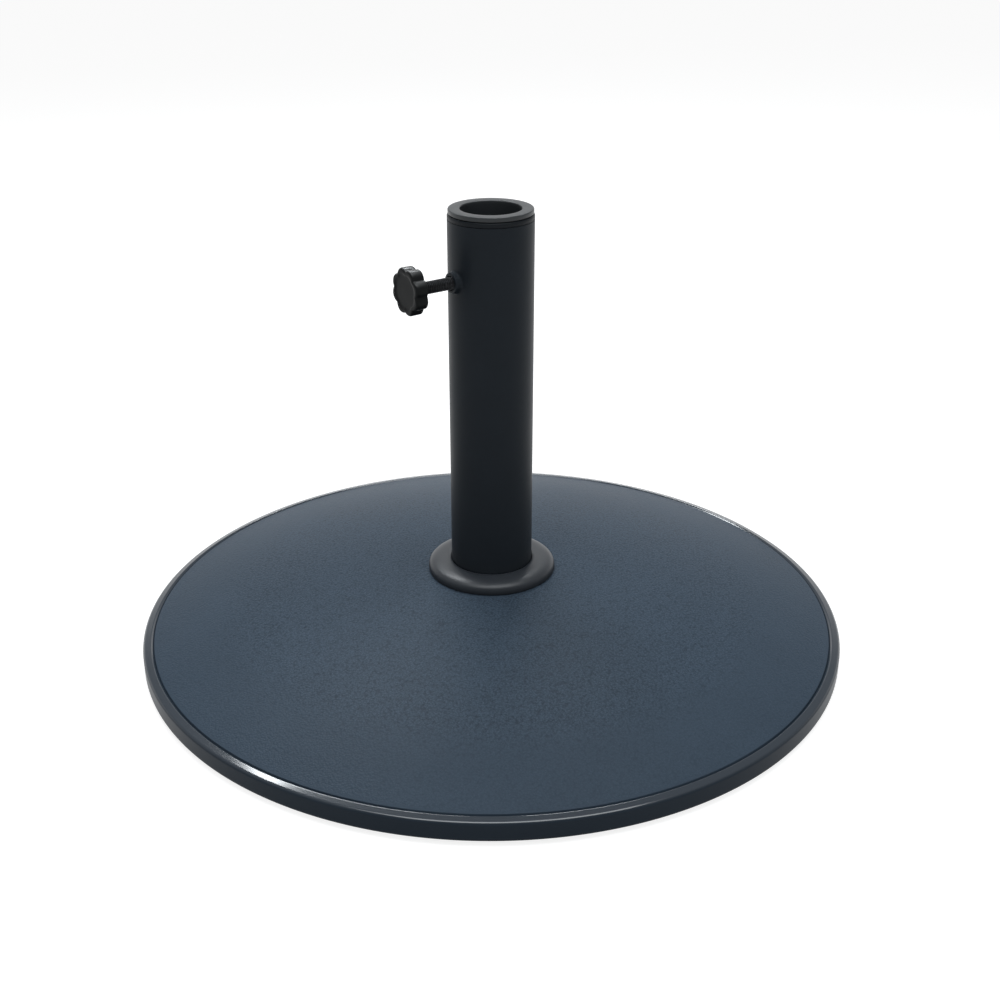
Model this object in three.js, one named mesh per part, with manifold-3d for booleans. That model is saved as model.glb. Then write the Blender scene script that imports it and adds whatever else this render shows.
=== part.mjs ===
// Round weighted parasol base: a domed plastic shell filled with a concrete ballast, a steel socket tube
// bolted into it from below, a pole reducer in the tube's mouth and a clamping screw with a hand knob.
// Millimetres, +Z up. The origin is on the floor, under the tube's axis. The hand knob points along -X.

import * as THREE from 'three';
import { mergeVertices } from 'three/addons/utils/BufferGeometryUtils.js';
import Module from 'manifold-3d';

const wasm = await Module();
wasm.setup();

// ---- Driving dimensions --------------------------------------------------------------------------

const clearance = 0.3;              // gap between pieces that seat on or fit into each other
const slidingFit = 0.4;             // gap round the tube, for pieces that slide along it

// Weighted base
const baseRadius = 240;
const footHeight = 3;               // floor to the shell's lower edge
const rimTop = 17.2;                // floor to the top of the rim bead
const rimBeadRadius = 3;
const rimCornerRadius = 2.2;        // lower outer corner of the shell's side wall
const beadStand = 0.3;              // rim bead above the dome's outer edge
const grooveDepth = 1.1;            // groove between the rim bead and the dome
const grooveWidth = 3.2;
const domeRise = 34.8;              // rise the dome would have without its socket well
const domeExponent = 2;             // 2 gives a dome of parabolic section
const shellWall = 2.5;
const wellFloor = 38;               // floor to the seat on which the tube stands
const panWall = 2;
const panRecess = 2;                // shell's lower edge to the pan's underside

// Fasteners and feet of the pan
const panScrewCount = 6;
const panScrewInset = 16;           // base's edge to the screws' centres
const panScrewRadius = 1.8;
const panScrewLength = 8;
const panScrewHeadReach = 2;        // head's edge outside the shank
const panScrewHeadHeight = 2.2;
const panScrewHeadRounding = 1.5;
const bossWall = 3.4;
const footCount = 6;
const footInset = 36;               // base's edge to the feet's centres
const footRadius = 13;
const footChamfer = 1.2;

// Mouth of the tube, from the pole outwards: these walls give the tube its radius
const poleBoreRadius = 19.4;        // takes a 38 mm pole
const reducerWall = 2.1;
const reducerRibHeight = 1;
const mouthWall = 2.9;
const tubeWall = 1.5;

// Socket tube and its anchor
const tubeLength = 256;
const endPlateThickness = 4;
const anchorRadius = 5;             // M10 bolt
const anchorAcrossFlats = 17;
const anchorHeadHeight = 6.4;
const anchorHeadRecess = 4;         // floor to the underside of the bolt's head
const anchorNutHeight = 8;
const anchorEndPastNut = 2.4;
const springWasherWall = 3.7;
const springWasherThickness = 2.2;
const springWasherSplit = 1.1;
const washerWall = 11.7;
const washerThickness = 2.5;
const spacerWall = 3;               // steel spacer round the anchor bolt
const dishPlay = 0.9;               // gap round the washer in the pan's bolt recess
const dishDraft = 1.5;              // widening of that recess at its mouth

// Cover ring over the joint between tube and dome
const coverRingWidth = 16;          // ring's edge outside the tube
const coverRingHeight = 8;
const coverRingWall = 2.2;
const coverRingEdge = 1.3;          // upright edge at the ring's outside
const coverRingFullness = 2.8;      // power of its curve: 2 is an ellipse, more is squarer

// Collar and pole reducer
const mouthLipHeight = 3.1;
const mouthShoulder = 1.1;          // chamfer on the collar's upper edge
const mouthSkirtLength = 18;
const flangeInset = 0.5;            // flange's edge inside the tube's outer face
const flangeThickness = 3;
const flangeChamfer = 0.5;
const reducerLength = 66;           // top of the flange to the sleeve's lower end
const reducerRibCount = 8;
const reducerRibWidth = 2.4;
const slotPlay = 1.4;               // gap beside the pad in the sleeve's slot

// Clamping screw, bush and pressure pad
const screwBelowMouth = 36.5;       // tube's upper end to the screw's axis
const screwRadius = 4;              // M8 x 1.25
const bushWall = 2.75;
const bushProud = 3.3;              // bush's face in front of the tube
const bushNeckWall = 1.5;
const padReach = 0.8;               // pad's edge outside the screw
const padThickness = 2.6;
const padPocketDepth = 1.4;
const padPinStep = 1.8;             // step from the screw's thread down to its swivel pin

// Hand knob
const knobStandoff = 28.1;          // tube to the back of the knob, with the screw backed out
const knobRadius = 15.1;
const knobThickness = 8.7;
const knobLobes = 8;
const knobLobeDepth = 2.1;
const knobLobeFullness = 0.75;      // under 1 makes the lobes broad and the notches between them narrow
const knobFirstLobe = 19;           // degrees from -Y towards +Z
const knobBevel = 1.2;
const knobHubWall = 1.6;
const knobHubLength = 1.6;
const knobFaceWall = 2.4;           // plastic between the screw's end and the knob's face

// Smoothness
const wideSides = 60;               // sides of the base's circles
const tubeSides = 40;               // sides of the tube's circles
const smallSides = 16;              // sides of the fasteners' circles
const domeSteps = 7;
const innerDomeSteps = 6;
const beadSteps = 5;
const cornerSteps = 2;
const ringSteps = 6;
const lobeSteps = 8;
const bevelSteps = 2;
const overshoot = 1;                // how far a cutting tool runs past the face it cuts

// ---- Materials -----------------------------------------------------------------------------------

const finishes = {
  shellPlastic: { color: 0x4a5460, roughness: 0.55, metalness: 0 },
  panPlastic: { color: 0x25272a, roughness: 0.6, metalness: 0 },
  ringPlastic: { color: 0x2f343a, roughness: 0.42, metalness: 0 },
  tubePaint: { color: 0x1f2226, roughness: 0.45, metalness: 0 },
  mouthPlastic: { color: 0x232528, roughness: 0.5, metalness: 0 },
  knobPlastic: { color: 0x26282b, roughness: 0.5, metalness: 0 },
  screwSteel: { color: 0x3a3c3f, roughness: 0.4, metalness: 1 },
  zincSteel: { color: 0xa9adb0, roughness: 0.35, metalness: 1 },
  padNylon: { color: 0xd8d6cc, roughness: 0.6, metalness: 0 },
  footRubber: { color: 0x1b1b1c, roughness: 0.9, metalness: 0 },
  concrete: { color: 0x9a978f, roughness: 0.95, metalness: 0 },
};

// ---- Heights and radii that follow ---------------------------------------------------------------

// Tube, collar and reducer, outwards from the pole.
const reducerRadius = poleBoreRadius + reducerWall;
const reducerRibRadius = reducerRadius + reducerRibHeight;
const mouthBore = reducerRibRadius + clearance;
const mouthRadius = mouthBore + mouthWall;
const tubeInside = mouthRadius + clearance;
const tubeRadius = tubeInside + tubeWall;
const wellRadius = tubeRadius + slidingFit;

// Base, upwards from the floor.
const panUnderside = footHeight + panRecess;
const panTop = panUnderside + panWall;
const ballastBottom = panTop + clearance;
const wellUnderside = wellFloor - shellWall;
const fieldEdge = rimTop - beadStand;
const fieldRadius = baseRadius - 2 * rimBeadRadius - grooveWidth / 2;

// Anchor, upwards from the floor: head, washers, pan, spacer, shell, end plate, nut.
const anchorHole = anchorRadius + clearance;
const anchorHeadTop = anchorHeadRecess + anchorHeadHeight;
const springWasherTop = anchorHeadTop + clearance + springWasherThickness;
const washerTop = springWasherTop + clearance + washerThickness;
const washerRadius = anchorHole + washerWall;
const dishCeiling = washerTop + clearance;
const dishTop = dishCeiling + panWall;
const dishRadius = washerRadius + dishPlay;
const tubeBottom = wellFloor + clearance;
const endPlateTop = tubeBottom + endPlateThickness;
const anchorNutBottom = endPlateTop + clearance;
const anchorNutTop = anchorNutBottom + anchorNutHeight;

// Mouth, upwards from the tube's upper end.
const tubeTop = tubeBottom + tubeLength;
const mouthLipBottom = tubeTop + clearance;
const mouthLipTop = mouthLipBottom + mouthLipHeight;
const flangeBottom = mouthLipTop + clearance;
const flangeTop = flangeBottom + flangeThickness;
const flangeRadius = tubeRadius - flangeInset;

// Clamping screw, with distances measured from the tube's axis towards the knob.
const screwHeight = tubeTop - screwBelowMouth;
const bushFace = tubeRadius + bushProud;
const bushNeckRadius = screwRadius + clearance + bushNeckWall;
const padRadius = screwRadius + padReach;
const padPinRadius = screwRadius - padPinStep;
const padBack = Math.sqrt((tubeInside - clearance) ** 2 - padRadius ** 2);   // its round edge clears the tube
const screwTip = padBack + clearance;
const knobBack = tubeRadius + knobStandoff;
const knobFace = knobBack + knobThickness;
const screwEnd = knobFace - knobFaceWall - clearance;

// ---- Making solids -------------------------------------------------------------------------------

// A solid from a closed geometry: its shared corners are merged and its empty triangles left out.
function solid(geometry) {
  const bare = geometry.index ? geometry.toNonIndexed() : geometry.clone();
  bare.deleteAttribute('normal');
  bare.deleteAttribute('uv');
  const merged = mergeVertices(bare, 1e-4);
  const corners = merged.index.array;
  const kept = [];
  for (let i = 0; i < corners.length; i += 3) {
    const [a, b, c] = [corners[i], corners[i + 1], corners[i + 2]];
    if (a !== b && b !== c && c !== a) kept.push(a, b, c);
  }
  return new wasm.Manifold(new wasm.Mesh({
    numProp: 3,
    vertProperties: Float32Array.from(merged.attributes.position.array),
    triVerts: Uint32Array.from(kept),
  }));
}

// A body of revolution about Z. The profile lists [radius, height] once round the section and is
// closed here, on itself or along the axis.
function revolve(profile, sides) {
  const points = profile.map(([radius, height]) => new THREE.Vector2(radius, height));
  if (THREE.ShapeUtils.area(points) < 0) points.reverse();
  points.push(points[0].clone());
  return solid(new THREE.LatheGeometry(points, sides).rotateX(Math.PI / 2));
}

// A disc or, with a bore, a washer or tube, between two heights.
function disc(radius, low, high, sides, bore = 0) {
  return revolve([[bore, low], [radius, low], [radius, high], [bore, high]], sides);
}

function hexagon(acrossFlats, low, high) {
  const corner = acrossFlats / Math.sqrt(3);
  const prism = new THREE.CylinderGeometry(corner, corner, high - low, 6);
  return solid(prism.rotateX(Math.PI / 2).translate(0, 0, (low + high) / 2));
}

// An upright solid laid along the screw: its height becomes the distance from the tube's axis along -X.
function alongScrew(upright) {
  return upright.rotate([0, -90, 0]).translate([0, 0, screwHeight]);
}

// Evenly spaced places on a circle about the tube's axis.
function circleOf(count, firstAngle, radius) {
  return Array.from({ length: count }, (_, i) => {
    const angle = firstAngle + (i * 2 * Math.PI) / count;
    return { x: radius * Math.cos(angle), y: radius * Math.sin(angle), angle };
  });
}

// Copies of an upright solid at each of those places.
function copies(spots, upright) {
  return spots.map(({ x, y }) => upright.translate([x, y, 0]));
}

function join(parts) {
  return parts.reduce((whole, part) => whole.add(part));
}

function domeHeight(radius) {
  return fieldEdge + domeRise * (1 - (radius / fieldRadius) ** domeExponent);
}

// Points of the dome from one radius to another, lowered by a depth.
function domeLine(from, to, steps, depth = 0) {
  return Array.from({ length: steps + 1 }, (_, i) => {
    const radius = from + ((to - from) * i) / steps;
    return [radius, domeHeight(radius) - depth];
  });
}

// Points of an arc, in degrees, 0 pointing outwards and 90 up: an ellipse's, or a squarer one's with a
// fullness above 2.
function arc([centreRadius, centreHeight], reach, rise, from, to, steps, fullness = 2) {
  const power = 2 / fullness;
  return Array.from({ length: steps + 1 }, (_, i) => {
    const angle = THREE.MathUtils.degToRad(from + ((to - from) * i) / steps);
    const across = reach * Math.cos(angle) ** power;
    return [centreRadius + across, centreHeight + rise * Math.sin(angle) ** power];
  });
}

const group = new THREE.Group();

function place(name, body, finish) {
  const { vertProperties, triVerts } = body.getMesh();
  const geometry = new THREE.BufferGeometry();
  geometry.setAttribute('position', new THREE.BufferAttribute(Float32Array.from(vertProperties), 3));
  geometry.setIndex(new THREE.BufferAttribute(Uint32Array.from(triVerts), 1));
  const mesh = new THREE.Mesh(geometry, new THREE.MeshStandardMaterial(finishes[finish]));
  mesh.name = name;
  group.add(mesh);
}

// ---- Weighted base: shell, ballast, pan, screws and feet -------------------------------------------

const screwSpots = circleOf(panScrewCount, Math.PI / panScrewCount, baseRadius - panScrewInset);
const footSpots = circleOf(footCount, 0, baseRadius - footInset);
const bossRadius = panScrewRadius + bossWall;

// Inner faces of the shell, which the ballast and the pan follow.
const shellInside = baseRadius - shellWall;
const shellShoulder = rimTop - rimBeadRadius - shellWall / 2;
const innerFieldRadius = fieldRadius - shellWall;

function baseTopShell() {
  const beadCentre = [baseRadius - rimBeadRadius, rimTop - rimBeadRadius];
  const cornerCentre = [baseRadius - rimCornerRadius, footHeight + rimCornerRadius];
  const outside = [
    ...domeLine(wellRadius, fieldRadius, domeSteps),
    [fieldRadius + grooveWidth / 2, fieldEdge - grooveDepth],
    ...arc(beadCentre, rimBeadRadius, rimBeadRadius, 150, 0, beadSteps),
    ...arc(cornerCentre, rimCornerRadius, rimCornerRadius, 0, -90, cornerSteps),
  ];
  const inside = [
    [shellInside, footHeight],
    [shellInside, shellShoulder],
    ...domeLine(innerFieldRadius, wellRadius + shellWall, innerDomeSteps, shellWall),
    [wellRadius + shellWall, wellUnderside],
    [anchorHole, wellUnderside],
    [anchorHole, wellFloor],
    [wellRadius, wellFloor],
  ];
  const bossTop = domeHeight(baseRadius - panScrewInset) - shellWall / 2;
  const screwHoleTop = panUnderside + panScrewLength + clearance;
  const bosses = copies(screwSpots, disc(bossRadius, ballastBottom, bossTop, smallSides));
  const holes = copies(screwSpots, disc(panScrewRadius + clearance, footHeight, screwHoleTop, smallSides));
  return join([revolve([...outside, ...inside], wideSides), ...bosses]).subtract(join(holes));
}

function concreteBallast() {
  const besideWell = wellRadius + shellWall + clearance;
  const besideSpacer = anchorHole + spacerWall + clearance;
  const besideDish = dishRadius + panWall + clearance;
  const profile = [
    [besideSpacer, dishTop + clearance],
    [besideDish, dishTop + clearance],
    [besideDish + dishDraft, ballastBottom],
    [shellInside - clearance, ballastBottom],
    [shellInside - clearance, shellShoulder - clearance],
    ...domeLine(innerFieldRadius - clearance, besideWell, innerDomeSteps, shellWall + 2 * clearance),
    [besideWell, wellUnderside - clearance],
    [besideSpacer, wellUnderside - clearance],
  ];
  const pocketRadius = bossRadius + clearance;
  const pocketTop = domeHeight(baseRadius - panScrewInset - pocketRadius);
  const pockets = copies(screwSpots, disc(pocketRadius, panUnderside, pocketTop, smallSides));
  return revolve(profile, wideSides).subtract(join(pockets));
}

function baseBottomPan() {
  const profile = [
    [anchorHole, dishCeiling],
    [dishRadius, dishCeiling],
    [dishRadius + dishDraft, panUnderside],
    [shellInside - clearance, panUnderside],
    [shellInside - clearance, panTop],
    [dishRadius + dishDraft + panWall, panTop],
    [dishRadius + panWall, dishTop],
    [anchorHole, dishTop],
  ];
  const hole = disc(panScrewRadius + clearance, panUnderside - overshoot, panTop + overshoot, smallSides);
  return revolve(profile, wideSides).subtract(join(copies(screwSpots, hole)));
}

function panScrew() {
  const headRadius = panScrewRadius + panScrewHeadReach;
  const headTop = panUnderside - clearance;
  const headBottom = headTop - panScrewHeadHeight;
  return revolve([
    [0, headBottom],
    [headRadius - panScrewHeadRounding, headBottom],
    [headRadius, headBottom + panScrewHeadRounding],
    [headRadius, headTop],
    [panScrewRadius, headTop],
    [panScrewRadius, headTop + panScrewLength - panScrewRadius],
    [0, headTop + panScrewLength],
  ], smallSides);
}

function footPad() {
  const top = panUnderside - clearance;
  return revolve([
    [0, 0],
    [footRadius - footChamfer, 0],
    [footRadius, footChamfer],
    [footRadius, top],
    [0, top],
  ], smallSides);
}

place('base_top_shell', baseTopShell(), 'shellPlastic');
place('concrete_ballast', concreteBallast(), 'concrete');
place('base_bottom_pan', baseBottomPan(), 'panPlastic');
copies(screwSpots, panScrew()).forEach((screw, i) => place(`pan_screw_${i + 1}`, screw, 'zincSteel'));
copies(footSpots, footPad()).forEach((pad, i) => place(`foot_pad_${i + 1}`, pad, 'footRubber'));

// ---- Anchor: bolt, washers, spacer, end plate and nut ----------------------------------------------

function anchorBolt() {
  const shankFoot = anchorHeadTop - anchorHeadHeight / 2;
  return hexagon(anchorAcrossFlats, anchorHeadRecess, anchorHeadTop)
    .add(disc(anchorRadius, shankFoot, anchorNutTop + anchorEndPastNut, smallSides));
}

function springWasher() {
  const low = springWasherTop - springWasherThickness;
  const radius = anchorHole + springWasherWall;
  const split = new THREE.BoxGeometry(radius, springWasherSplit, springWasherThickness + 2 * overshoot);
  split.translate(radius / 2 + anchorRadius / 2, 0, (low + springWasherTop) / 2);
  return disc(radius, low, springWasherTop, smallSides, anchorHole).subtract(solid(split));
}

function flatWasher() {
  return disc(washerRadius, washerTop - washerThickness, washerTop, tubeSides, anchorHole);
}

function boltSpacer() {
  return disc(anchorHole + spacerWall, dishTop + clearance, wellUnderside - clearance, smallSides, anchorHole);
}

function anchorNut() {
  const thread = disc(anchorHole, anchorNutBottom - overshoot, anchorNutTop + overshoot, smallSides);
  return hexagon(anchorAcrossFlats, anchorNutBottom, anchorNutTop).subtract(thread);
}

place('anchor_bolt', anchorBolt(), 'zincSteel');
place('anchor_spring_washer', springWasher(), 'zincSteel');
place('anchor_washer', flatWasher(), 'zincSteel');
place('bolt_sleeve', boltSpacer(), 'zincSteel');
place('tube_end_plate', disc(mouthRadius, tubeBottom, endPlateTop, tubeSides, anchorHole), 'tubePaint');
place('anchor_nut', anchorNut(), 'zincSteel');

// ---- Socket tube, bush and cover ring --------------------------------------------------------------

function socketTube() {
  const neckHole = alongScrew(disc(bushNeckRadius + clearance, padBack, bushFace, smallSides));
  return disc(tubeRadius, tubeBottom, tubeTop, tubeSides, tubeInside).subtract(neckHole);
}

// The bush has a saddle that sits on the tube, and a neck that goes through the tube's wall.
function knobBush() {
  const bushRadius = screwRadius + bushWall;
  const boss = alongScrew(disc(bushRadius, tubeInside, bushFace, smallSides));
  const saddleReach = bushRadius + overshoot;
  const saddle = disc(tubeRadius + clearance, screwHeight - saddleReach, screwHeight + saddleReach, tubeSides);
  const neck = alongScrew(disc(bushNeckRadius, tubeInside, (tubeRadius + bushFace) / 2, smallSides));
  const thread = disc(screwRadius + clearance, tubeInside - overshoot, bushFace + overshoot, smallSides);
  return boss.subtract(saddle).add(neck).subtract(alongScrew(thread));
}

// A hollow moulding, whose outside curves from the tube out to an upright edge.
function coverRing() {
  const bore = tubeRadius + slidingFit;
  const radius = tubeRadius + coverRingWidth;
  const low = domeHeight(radius) + clearance;
  const edgeTop = [bore, low + coverRingEdge];
  const boreFoot = domeHeight(bore + coverRingWall) + clearance;
  const reach = radius - bore;
  const rise = coverRingHeight - coverRingEdge;
  const boreCosine = (coverRingWall / (reach - coverRingWall)) ** (coverRingFullness / 2);
  const boreAngle = THREE.MathUtils.radToDeg(Math.acos(boreCosine));
  return revolve([
    [radius, low],
    ...arc(edgeTop, reach, rise, 0, 90, ringSteps, coverRingFullness),
    [bore, boreFoot],
    [bore + coverRingWall, boreFoot],
    ...arc(edgeTop, reach - coverRingWall, rise - coverRingWall, boreAngle, 0, ringSteps, coverRingFullness),
    [radius - coverRingWall, low],
  ], tubeSides);
}

place('socket_tube', socketTube(), 'tubePaint');
place('knob_bush', knobBush(), 'tubePaint');
place('cover_ring', coverRing(), 'ringPlastic');

// ---- Mouth of the tube: collar and pole reducer ----------------------------------------------------

function mouthCap() {
  return revolve([
    [mouthBore, tubeTop - mouthSkirtLength],
    [mouthRadius, tubeTop - mouthSkirtLength],
    [mouthRadius, mouthLipBottom],
    [tubeRadius, mouthLipBottom],
    [tubeRadius, mouthLipTop - mouthShoulder],
    [tubeRadius - mouthShoulder, mouthLipTop],
    [mouthBore, mouthLipTop],
  ], tubeSides);
}

// The sleeve has ribs that centre it, and a slot, open at its lower end, in which the pad moves.
function reducerSleeve() {
  const bottom = flangeTop - reducerLength;
  const body = revolve([
    [poleBoreRadius, bottom],
    [reducerRadius, bottom],
    [reducerRadius, flangeBottom],
    [flangeRadius, flangeBottom],
    [flangeRadius, flangeTop - flangeChamfer],
    [flangeRadius - flangeChamfer, flangeTop],
    [poleBoreRadius + flangeChamfer, flangeTop],
    [poleBoreRadius, flangeTop - flangeChamfer],
  ], tubeSides);
  const ribDepth = reducerRibHeight + reducerWall / 2;
  const ribTop = (flangeBottom + flangeTop) / 2;
  const ribSpots = circleOf(reducerRibCount, Math.PI / reducerRibCount, reducerRibRadius - ribDepth / 2);
  const ribs = ribSpots.map(({ x, y, angle }) => {
    const rib = new THREE.BoxGeometry(ribDepth, reducerRibWidth, ribTop - bottom);
    return solid(rib.rotateZ(angle).translate(x, y, (ribTop + bottom) / 2));
  });
  const slotHalfWidth = padRadius + slotPlay;
  const slotTop = screwHeight + slotHalfWidth;
  const slotBottom = bottom - overshoot;
  const slot = new THREE.BoxGeometry(tubeRadius, 2 * slotHalfWidth, slotTop - slotBottom);
  slot.translate(-tubeRadius, 0, (slotTop + slotBottom) / 2);
  return join([body, ...ribs]).subtract(solid(slot));
}

place('mouth_cap', mouthCap(), 'mouthPlastic');
place('reducer_sleeve', reducerSleeve(), 'mouthPlastic');

// ---- Clamping screw, knob and pad, with the screw backed out ---------------------------------------

function pressurePad() {
  const pocket = disc(padPinRadius + clearance, padBack - padPocketDepth, padBack + overshoot, smallSides);
  return alongScrew(disc(padRadius, padBack - padThickness, padBack, smallSides).subtract(pocket));
}

function knobScrew() {
  return alongScrew(revolve([
    [0, screwTip - padPocketDepth],
    [padPinRadius, screwTip - padPocketDepth],
    [padPinRadius, screwTip],
    [screwRadius, screwTip],
    [screwRadius, screwEnd],
    [0, screwEnd],
  ], smallSides));
}

// The knob's outline is a circle with rounded lobes.
function knobBody() {
  const steps = knobLobes * lobeSteps;
  const outline = Array.from({ length: steps }, (_, i) => {
    const angle = (i * 2 * Math.PI) / steps;
    const lobe = Math.abs(Math.cos((knobLobes * angle) / 2)) ** knobLobeFullness;
    const radius = knobRadius - knobBevel - knobLobeDepth * (1 - lobe);
    return new THREE.Vector2(radius * Math.cos(angle), radius * Math.sin(angle));
  });
  const plate = new THREE.ExtrudeGeometry(new THREE.Shape(outline), {
    depth: knobThickness - 2 * knobBevel,
    bevelThickness: knobBevel,
    bevelSize: knobBevel,
    bevelSegments: bevelSteps,
    steps: 1,
  });
  plate.translate(0, 0, knobBack + knobBevel);
  const hubEnd = knobBack - knobHubLength;
  const hubRadius = screwRadius + clearance + knobHubWall;
  const hub = disc(hubRadius, hubEnd, (knobBack + knobFace) / 2, smallSides);
  const socket = disc(screwRadius + clearance, hubEnd - overshoot, screwEnd + clearance, smallSides);
  return alongScrew(solid(plate).add(hub).subtract(socket).rotate([0, 0, knobFirstLobe - 90]));
}

place('knob_screw', knobScrew(), 'screwSteel');
place('knob_body', knobBody(), 'knobPlastic');
place('pressure_pad', pressurePad(), 'padNylon');

export default group;
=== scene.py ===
"""Looks of a round weighted parasol base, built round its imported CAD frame.

The base is a low-domed slate plastic shell with a pebble grain and a glossy sloping rim. A satin black
tube stands in it under a moulded cover ring. A reducer's flange closes the tube's mouth, and a lobed
knob on a threaded screw clamps the pole. Everything is in metres, in the frame of the CAD model.
"""

import math

import bmesh
import bpy
import numpy as np
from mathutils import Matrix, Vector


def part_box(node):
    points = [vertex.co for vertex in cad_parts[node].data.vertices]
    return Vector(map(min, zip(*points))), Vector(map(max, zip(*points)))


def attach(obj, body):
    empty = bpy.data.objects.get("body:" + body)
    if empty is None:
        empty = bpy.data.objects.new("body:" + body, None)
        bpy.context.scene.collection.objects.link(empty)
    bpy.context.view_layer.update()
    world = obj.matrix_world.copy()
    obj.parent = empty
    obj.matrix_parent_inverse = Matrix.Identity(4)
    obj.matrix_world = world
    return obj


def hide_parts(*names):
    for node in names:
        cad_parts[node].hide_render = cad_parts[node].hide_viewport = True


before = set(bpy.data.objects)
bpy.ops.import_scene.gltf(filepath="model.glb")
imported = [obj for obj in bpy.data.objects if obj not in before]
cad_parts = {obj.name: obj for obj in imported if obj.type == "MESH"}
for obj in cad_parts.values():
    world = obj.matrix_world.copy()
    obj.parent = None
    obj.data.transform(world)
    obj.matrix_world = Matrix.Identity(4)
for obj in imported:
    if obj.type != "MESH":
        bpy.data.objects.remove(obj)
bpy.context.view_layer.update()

MM = 0.001
FULL_TURN = 2 * math.pi


# ---- Sizes read from the frame ----------------------------------------------------------------------

def span(node, axis):
    """Lowest and highest coordinate of a CAD node along one axis, 0 to 2."""
    low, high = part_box(node)
    return low[axis], high[axis]


BASE_RADIUS = span("base_top_shell", 0)[1]
SHELL_FOOT = span("base_top_shell", 2)[0]
TUBE_RADIUS = span("socket_tube", 0)[1]
TUBE_FOOT, TUBE_TOP = span("socket_tube", 2)
RING_RADIUS = span("cover_ring", 0)[1]
RING_FOOT, RING_TOP = span("cover_ring", 2)
PAN_RADIUS = span("base_bottom_pan", 0)[1]
PAN_FOOT, DISH_TOP = span("base_bottom_pan", 2)
MOUTH_RADIUS = span("tube_end_plate", 0)[1]
MOUTH_FOOT, MOUTH_TOP = span("mouth_cap", 2)
REDUCER_FOOT, FLANGE_TOP = span("reducer_sleeve", 2)
FLANGE_RADIUS = span("reducer_sleeve", 0)[1]
BUSH_FACE = -span("knob_bush", 0)[0]
TUBE_INSIDE = -span("knob_bush", 0)[1]
BUSH_RADIUS = span("knob_bush", 1)[1]
SCREW_LOW, SCREW_HIGH = span("knob_screw", 2)
SCREW_HEIGHT = (SCREW_LOW + SCREW_HIGH) / 2
SCREW_RADIUS = (SCREW_HIGH - SCREW_LOW) / 2
SCREW_END = -span("knob_screw", 0)[0]
SCREW_TIP = -span("knob_screw", 0)[1]
KNOB_FACE = -span("knob_body", 0)[0]
KNOB_HUB_END = -span("knob_body", 0)[1]
PAD_BACK = -span("pressure_pad", 0)[0]
PAD_FACE = -span("pressure_pad", 0)[1]
PAD_RADIUS = span("pressure_pad", 1)[1]
WASHER_RADIUS = span("anchor_washer", 0)[1]
BOLT_FOOT, BOLT_TOP = span("anchor_bolt", 2)

# Sizes that the boxes don't give, as in the CAD model. The rim's lip takes the place of the CAD's bead.
CLEARANCE = 0.3 * MM
SLIDING_FIT = 0.4 * MM
SHELL_WALL = 2.5 * MM
RIM_TOP = 17.2 * MM
BEAD_RADIUS = 3 * MM
BEAD_STAND = 0.3 * MM
LIP_RISE = 0.9 * MM
LIP_RUN = 1.1 * MM
LIP_FALL = 1.3 * MM
RIM_EDGE_FILLET = 2 * MM
GROOVE_DEPTH = 1.1 * MM
GROOVE_WIDTH = 3.2 * MM
CORNER_RADIUS = 2.2 * MM
DOME_RISE = 34.8 * MM
WELL_FLOOR = TUBE_FOOT - CLEARANCE
PAN_WALL = 2 * MM
BOLT_HOLE = 5.3 * MM
RING_WALL = 2.2 * MM
RING_EDGE = 1.3 * MM
RING_FULLNESS = 2.8
POLE_BORE = 19.4 * MM
REDUCER_WALL = 2.1 * MM
RIB_HEIGHT = 1 * MM
MOUTH_BORE = POLE_BORE + REDUCER_WALL + RIB_HEIGHT + CLEARANCE
FLANGE_FOOT = FLANGE_TOP - 3 * MM
SLOT_HALF_WIDTH = PAD_RADIUS + 1.4 * MM
BUSH_BORE = SCREW_RADIUS + CLEARANCE
BUSH_NECK = BUSH_BORE + 1.5 * MM
THREAD_PITCH = 1.25 * MM
KNOB_BACK = KNOB_FACE - 8.7 * MM
KNOB_RADIUS = 15.1 * MM
KNOB_LOBES = 8
KNOB_LOBE_DEPTH = 2.1 * MM
KNOB_FIRST_LOBE = math.radians(19)
FIELD_RADIUS = BASE_RADIUS - 2 * BEAD_RADIUS - GROOVE_WIDTH / 2
FIELD_EDGE = RIM_TOP - BEAD_STAND
LIP_START = FIELD_RADIUS + 1.2 * MM


def dome(radius):
    """Height of the dome's outer face: a parabola that falls from the crown to the field's edge."""
    return FIELD_EDGE + DOME_RISE * (1 - (radius / FIELD_RADIUS) ** 2)


# ---- Surfaces as arrays -----------------------------------------------------------------------------

def unit(vector):
    """The vector at a length of 1."""
    return vector / np.linalg.norm(vector)


def outline(corners, steps=6):
    """Points through (across, up, fillet) corners, in order.

    A fillet is an arc tangent to both edges of its corner: its centre lies fillet / sin(half angle) from
    the corner along the bisector, and the arc runs between the two tangent points. A support point just
    outside each tangent point keeps the neighbouring flat from being shaded as a curve.
    """
    points = []
    for i, (across, up, fillet) in enumerate(corners):
        corner = np.array((across, up))
        if fillet == 0:
            points.append(corner)
            continue
        before = np.array(corners[i - 1][:2]) - corner
        after = np.array(corners[(i + 1) % len(corners)][:2]) - corner
        room = min(np.linalg.norm(before), np.linalg.norm(after))
        before, after = unit(before), unit(after)
        half = math.acos(np.clip(before @ after, -1, 1)) / 2
        reach = fillet / math.tan(half)
        support = min(1.35 * reach, (reach + room) / 2)
        centre = corner + unit(before + after) * fillet / math.sin(half)
        sweep = math.pi - 2 * half
        along = np.linspace(0, 1, steps + 1)[:, None]
        first = corner + before * reach - centre
        last = corner + after * reach - centre
        bend = (np.sin((1 - along) * sweep) * first + np.sin(along * sweep) * last) / math.sin(sweep)
        points += [corner + before * support, *(centre + bend), corner + after * support]
    return np.array(points)


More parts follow.
